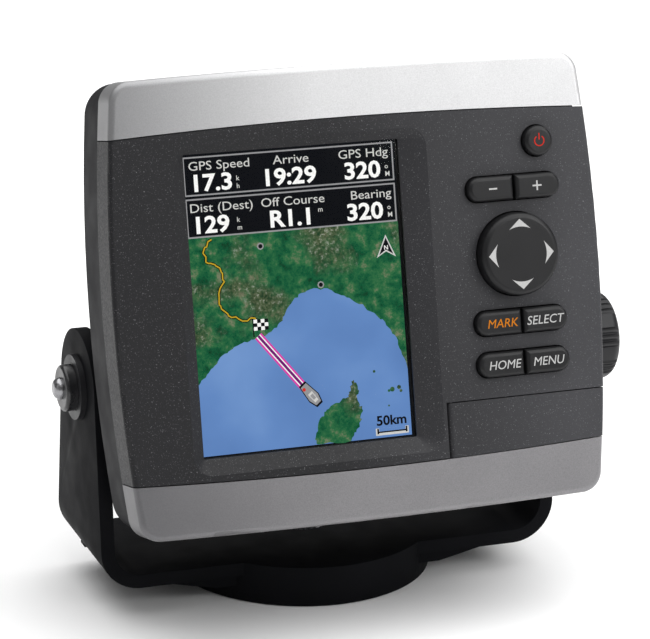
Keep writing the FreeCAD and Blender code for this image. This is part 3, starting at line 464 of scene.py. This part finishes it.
COAST = [(-30.5, -21.2), (-27.8, -19.2), (-25.2, -16.2), (-22.0, -13.3), (-18.4, -11.5), (-14.8, -10.5),
         (-11.2, -10.0), (-8.2, -8.6), (-4.8, -5.8), (-2.8, -2.2), (0.3, 0.9), (4.7, 2.1), (9.3, 1.4),
         (13.5, -0.6), (17.6, -3.3), (21.7, -6.1), (24.7, -9.0), (27.3, -12.9), (29.0, -17.2), (30.5, -23.5)]
ISLAND = [(14.6, -23.9), (15.6, -26.7), (15.1, -29.6), (16.4, -32.1), (15.6, -35.7), (14.3, -38.3),
          (12.6, -40.6), (2.6, -40.6), (2.3, -38.4), (3.5, -34.5), (5.7, -31.7), (9.0, -29.8), (12.6, -28.5),
          (13.4, -26.0), (14.6, -23.9)]
ROAD = [(-23.4, 17.8), (-26.2, 14.6), (-24.8, 11.4), (-21.6, 9.8), (-20.7, 6.2), (-22.6, 3.1), (-22.3, -0.4),
        (-20.2, -3.3), (-16.4, -5.0), (-12.6, -4.4), (-11.4, -7.2)]
ISLETS = [(27.6, -27.2, 0.6), (25.6, -27.6, 0.7), (28.1, -28.2, 0.45), (24.6, -27.9, 0.4),
          (24.3, -32.0, 0.28), (20.6, -22.2, 0.4)]
WAYPOINTS = [(-9.8, 14.8), (6.8, 2.9)]
FLAG = (-11.6, -8.6)
BOAT = (1.7, -26.6)

picture("picture_base", [rectangle(-HALF_W - 0.35, HALF_W + 0.35, -HALF_T - 0.35, HALF_T + 0.35)], 0, BLACK)
picture("chart_land", [rectangle(-HALF_W, HALF_W, -HALF_T, 18.4)], 1, LAND)
picture("chart_sea", [rugged(COAST, 0.35) + [(HALF_W, -HALF_T), (-HALF_W, -HALF_T)]], 2, SEA)
picture("chart_island", [rugged(ISLAND, 0.4)[:-1]], 3, LAND)
picture("chart_islets", [circle(*islet, 9) for islet in ISLETS], 3, LAND)
road = rugged(ROAD, 0.5, 4)
picture("chart_road_edge", segments(road, 0.85), 3, BLACK)
picture("chart_road", segments(road, 0.36), 4, YELLOW)
course = [(FLAG[0] - 0.6, FLAG[1] - 0.8), (BOAT[0] - 0.6, BOAT[1] + 0.6)]
picture("course_line", segments(course, 2.4), 4, MAGENTA)
picture("course_centre", segments(course, 1.35), 5, WHITE)
picture("course_core", segments(course, 0.75), 6, PURPLE)

along = math.atan2(course[1][1] - course[0][1], course[1][0] - course[0][0])


def turned(points, centre, angle, scale=1.0):
    c, s = math.cos(angle) * scale, math.sin(angle) * scale
    return [(centre[0] + x * c - z * s, centre[1] + x * s + z * c) for x, z in points]


HULL = [(-3.2, -1.0), (1.2, -1.55), (3.4, -0.9), (3.4, 0.9), (1.2, 1.55), (-3.2, 1.0)]
picture("boat_edge", [turned(HULL, BOAT, along, 1.18)], 7, BLACK)
picture("boat_rim", [turned(HULL, BOAT, along, 1.0)], 8, GREY)
picture("boat_deck", [turned([(-0.4, -0.75), (2.6, -0.6), (2.6, 0.6), (-0.4, 0.75)], BOAT, along)], 9, PALE)
picture("boat_lamps", [turned(circle(-2.2, -0.6, 0.5, 10), BOAT, along)], 9, RED_GLOW)
picture("boat_cabin", [turned([(0.2, -0.5), (1.8, -0.45), (1.8, 0.45), (0.2, 0.5)], BOAT, along)], 10, GREY)

dark_squares, light_squares = [], []
for row in range(3):
    for column in range(4):
        spot = rectangle(-13.3 + column * 1.05, -12.25 + column * 1.05, -5.9 - row, -4.9 - row)
        (dark_squares if (row + column) % 2 else light_squares).append(spot)
flag_pole = rectangle(-13.6, -13.25, -9.6, -4.8)
picture("flag_dark", dark_squares + [flag_pole], 7, BLACK)
picture("flag_light", light_squares, 7, WHITE)
picture("waypoint_rims", [circle(u, v, 1.0, 8) for u, v in WAYPOINTS], 4, GREY)
picture("waypoint_dots", [circle(u, v, 0.62, 8) for u, v in WAYPOINTS], 5, BLACK)
picture("north_edge", [[(23.6, 8.8), (26.5, 15.0), (29.2, 8.8), (26.4, 10.4)]], 7, PALE)
picture("north_arrow", [[(24.3, 9.5), (26.5, 14.2), (28.5, 9.5), (26.4, 10.9)]], 8, BLACK)
picture_text("north_letter", "N", 26.45, 10.9, 1.7, 9, WHITE, align="CENTER", bold=0.02)
picture("scale_edge", [rectangle(19.9, 29.6, -40.0, -38.0)], 7, PALE)
picture("scale_inner", [rectangle(20.9, 28.6, -38.9, -38.0)], 8, SEA)
picture("scale_bar", frame_lines(20.6, 28.9, -39.3, -38.9, 0.34)
        + [rectangle(20.3, 20.8, -39.6, -38.1), rectangle(28.7, 29.2, -39.6, -38.1)], 9, BLACK)
picture_text("scale_words", "50km", 24.7, -37.2, 3.7, 9, BLACK, align="CENTER", bold=0.10, stretch=1.08)

for index, (low, top) in enumerate(((29.7, 40.3), (18.4, 29.0))):
    picture(f"data_box_{index}", [rectangle(-HALF_W, HALF_W, low, top)], 2, BLACK)
    picture(f"data_rim_{index}", frame_lines(-30.2, 30.3, low, top, 0.42), 4, GREY)

FIELDS = [  # label, value, where each starts across, and their baselines
    ("GPS Speed", "17.3", -28.8, -28.6, 36.6, 31.0),
    ("Arrive", "19:29", -4.6, -8.2, 36.6, 31.0),
    ("GPS Hdg", "320", 14.2, 15.6, 36.6, 31.0),
    ("Dist (Dest)", "129", -29.2, -28.8, 25.3, 19.7),
    ("Off Course", "R1.1", -8.9, -6.8, 25.3, 19.7),
    ("Bearing", "320", 17.0, 15.6, 25.3, 19.7),
]
for index, (label, value, label_u, value_u, label_v, value_v) in enumerate(FIELDS):
    picture_text(f"field_label_{index}", label, label_u, label_v, 3.4, 5, PALE, stretch=1.18)
    picture_text(f"field_value_{index}", value, value_u, value_v, 6.3, 5, WHITE, bold=0.17, stretch=1.14)
UNITS = [  # upper and lower letter, place across, baseline
    ("k", "h", -15.4, 31.0), ("o", "M", 27.6, 31.0), ("k", "m", -16.0, 19.8), ("", "m", 7.4, 22.8),
    ("o", "M", 27.6, 19.8),
]
for index, (upper, lower, u, v) in enumerate(UNITS):
    if upper:
        picture_text(f"unit_upper_{index}", upper, u, v + 2.1, 1.9, 5, PALE, bold=0.015)
    picture_text(f"unit_lower_{index}", lower, u, v, 1.9, 5, PALE, bold=0.015)

# ---------------------------------------------------------------- legends on the keys
LEGEND_Y = KEY_FRONT - LEGEND_PROUD
KEY_X, ZOOM_Z, MARK_Z, HOME_Z = 45.5, 25.35, -11.7, -23.2
HALF_CAPITAL = 0.36   # half of a capital's height, as a share of the letter size


def legend(name, outlines, material, body, depth=LEGEND_Y):
    return prisms(name, outlines, depth, material, body, thick=LEGEND_THICK)


def key_words(name, words, x, z, material, body, size=3.45):
    """Slanted capitals, centred on (x, z)."""
    return text(name, words, x, z - size * HALF_CAPITAL, size, LEGEND_Y, material, body, "key_rubber",
                "CENTER", stretch=0.98, slant=0.2)


minus_x, plus_x = KEY_X - 6.5, KEY_X + 6.7
THIN, MINUS_REACH, REACH = 0.22, 1.2, 1.35
minus = rectangle(minus_x - MINUS_REACH, minus_x + MINUS_REACH, ZOOM_Z - THIN, ZOOM_Z + THIN)
legend("minus_legend", [minus], INK_GLOW, "zoom_out_key")
plus = [(-THIN, -REACH), (THIN, -REACH), (THIN, -THIN), (REACH, -THIN), (REACH, THIN), (THIN, THIN),
        (THIN, REACH), (-THIN, REACH), (-THIN, THIN), (-REACH, THIN), (-REACH, -THIN), (-THIN, -THIN)]
legend("plus_legend", [[(plus_x + x, ZOOM_Z + z) for x, z in plus]], INK_GLOW, "zoom_in_key")
key_words("mark_legend", "MARK", KEY_X - 6.3, MARK_Z, ORANGE_GLOW, "mark_key")
key_words("select_legend", "SELECT", KEY_X + 6.5, MARK_Z, INK_GLOW, "select_key")
key_words("home_legend", "HOME", KEY_X - 6.4, HOME_Z, INK_GLOW, "home_key")
key_words("menu_legend", "MENU", KEY_X + 6.8, HOME_Z, INK_GLOW, "menu_key")
POWER_X, POWER_Z = 53.7, 37.6
legend("power_ring", [stroke(arc(POWER_X, POWER_Z, 1.4, 125, 415, 30), 0.32)], RED_GLOW, "power_key")
power_bar = rectangle(POWER_X - 0.17, POWER_X + 0.17, POWER_Z + 0.3, POWER_Z + 2.1)
legend("power_bar", [power_bar], RED_GLOW, "power_key")

PAD_Z, PAD_FRONT, ARROW_IN, ARROW_OUT, ARROW_HALF = 6.9, -4.2, 7.6, 9.7, 3.25
ARROW_SPREAD = math.degrees(math.asin(ARROW_HALF / ARROW_IN)) * 0.98
arrow = [(ARROW_OUT, 0.0)] + arc(0, 0, ARROW_IN, -ARROW_SPREAD, ARROW_SPREAD, 10)[::-1]
arrows = [turned(arrow, (KEY_X, PAD_Z), math.radians(90 * quarter)) for quarter in range(4)]
legend("rocker_arrows", arrows, INK_GLOW, "rocker", PAD_FRONT - LEGEND_PROUD)

# ---------------------------------------------------------------- softened bracket
BRACKET_SOFT = 0.0011  # metres
SAME_PLACE = 1e-6      # metres
FLAT_ANGLE = 1.0       # degrees


def softened(source, name, width, body, angle=28.0, crease=35.0, steps=3):
    """A copy of a CAD node with its sharp edges rounded; it takes the node's place."""
    made = NODES[source].data.copy()
    work = bmesh.new()
    work.from_mesh(made)
    bmesh.ops.remove_doubles(work, verts=work.verts, dist=SAME_PLACE)
    bmesh.ops.dissolve_limit(work, angle_limit=math.radians(FLAT_ANGLE), verts=work.verts, edges=work.edges)
    sharp = [edge for edge in work.edges
             if len(edge.link_faces) == 2 and edge.calc_face_angle(0.0) > math.radians(angle)]
    bmesh.ops.bevel(work, geom=sharp, offset=width, offset_type="OFFSET", segments=steps, profile=0.5,
                    affect="EDGES", clamp_overlap=True)
    for face in work.faces:
        face.smooth = True
    work.to_mesh(made)
    work.free()
    made.name = name
    piece = bpy.data.objects.new(name, made)
    bpy.context.scene.collection.objects.link(piece)
    made.materials.clear()
    made.materials.append(SLOTS[node_slot[source]])
    made.set_sharp_from_angle(angle=math.radians(crease))
    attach(piece, body)
    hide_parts(source)
    return piece


softened("bail_bracket", "bracket_moulding", BRACKET_SOFT, "bracket")


# ---------------------------------------------------------------- floor, light and camera
def floor():
    """A pale sweep: flat under the object and rising far behind it."""
    reach, back, rise, steps = 6.0, 3.2, 1.6, 24
    profile = [(-reach, 0.0), (back, 0.0)]
    profile += [(back + rise * math.sin(a), rise * (1 - math.cos(a)))
                for a in (math.pi / 2 * i / steps for i in range(1, steps + 1))]
    profile.append((back + rise, 6.0))
    verts = [(x, y, z) for y, z in profile for x in (-reach, reach)]
    faces = [(2 * i, 2 * i + 1, 2 * i + 3, 2 * i + 2) for i in range(len(profile) - 1)]
    mesh = bpy.data.meshes.new("floor")
    mesh.from_pydata(verts, [], faces)
    for face in mesh.polygons:
        face.use_smooth = True
    shade = Shade("floor_paper")
    colour = shade.ramp(shade.noise(3.0, 2.0), [(0.3, (0.93, 0.93, 0.93)), (0.7, (0.95, 0.95, 0.95))])
    shade.surface(colour, 0.9, specular=0.0)
    mesh.materials.append(shade.mat)
    piece = bpy.data.objects.new("floor", mesh)
    bpy.context.scene.collection.objects.link(piece)


def softbox(name, place, target, wide, tall, power):
    """A rectangular lamp that looks from its place to its target."""
    data = bpy.data.lights.new(name, "AREA")
    data.shape, data.size, data.size_y = "RECTANGLE", wide, tall
    data.energy = power
    lamp = bpy.data.objects.new(name, data)
    lamp.location = place
    lamp.rotation_euler = (Vector(target) - Vector(place)).to_track_quat("-Z", "Y").to_euler()
    bpy.context.scene.collection.objects.link(lamp)


floor()
softbox("top_box", (0.15, 0.10, 1.15), (0.0, 0.0, 0.05), 2.2, 2.0, 34.0)
softbox("front_box", (0.50, -0.62, 0.52), (0.0, -0.03, 0.13), 0.55, 0.42, 3.4)
softbox("left_box", (-1.1, -0.25, 0.55), (0.0, 0.0, 0.08), 0.4, 0.8, 0.5)

world = bpy.data.worlds.new("studio")
bpy.context.scene.world = world
world.use_nodes = True
sky = world.node_tree.nodes["Background"]
sky.inputs["Color"].default_value = (1.0, 1.0, 1.0, 1.0)
sky.inputs["Strength"].default_value = 0.22

AZIMUTH, ELEVATION, ROLL = math.radians(20.91), math.radians(18.74), math.radians(1.5)
CAMERA_PLACE = Vector((-0.3216, -0.8596, 0.3844))
away = Vector((math.sin(AZIMUTH) * math.cos(ELEVATION), math.cos(AZIMUTH) * math.cos(ELEVATION),
               -math.sin(ELEVATION)))
right = Vector((math.cos(AZIMUTH), -math.sin(AZIMUTH), 0.0))
upward = right.cross(away)
right_rolled = right * math.cos(ROLL) + upward * math.sin(ROLL)
up_rolled = upward * math.cos(ROLL) - right * math.sin(ROLL)
camera_data = bpy.data.cameras.new("camera")
camera_data.lens, camera_data.sensor_width, camera_data.sensor_fit = 187.25, 36.0, "HORIZONTAL"
camera_data.clip_start, camera_data.clip_end = 0.05, 30.0
camera = bpy.data.objects.new("camera", camera_data)
turn = Matrix((right_rolled, up_rolled, -away)).transposed()
camera.matrix_world = Matrix.Translation(CAMERA_PLACE) @ turn.to_4x4()
bpy.context.scene.collection.objects.link(camera)
bpy.context.scene.camera = camera
bpy.context.scene.view_settings.view_transform = "Standard"
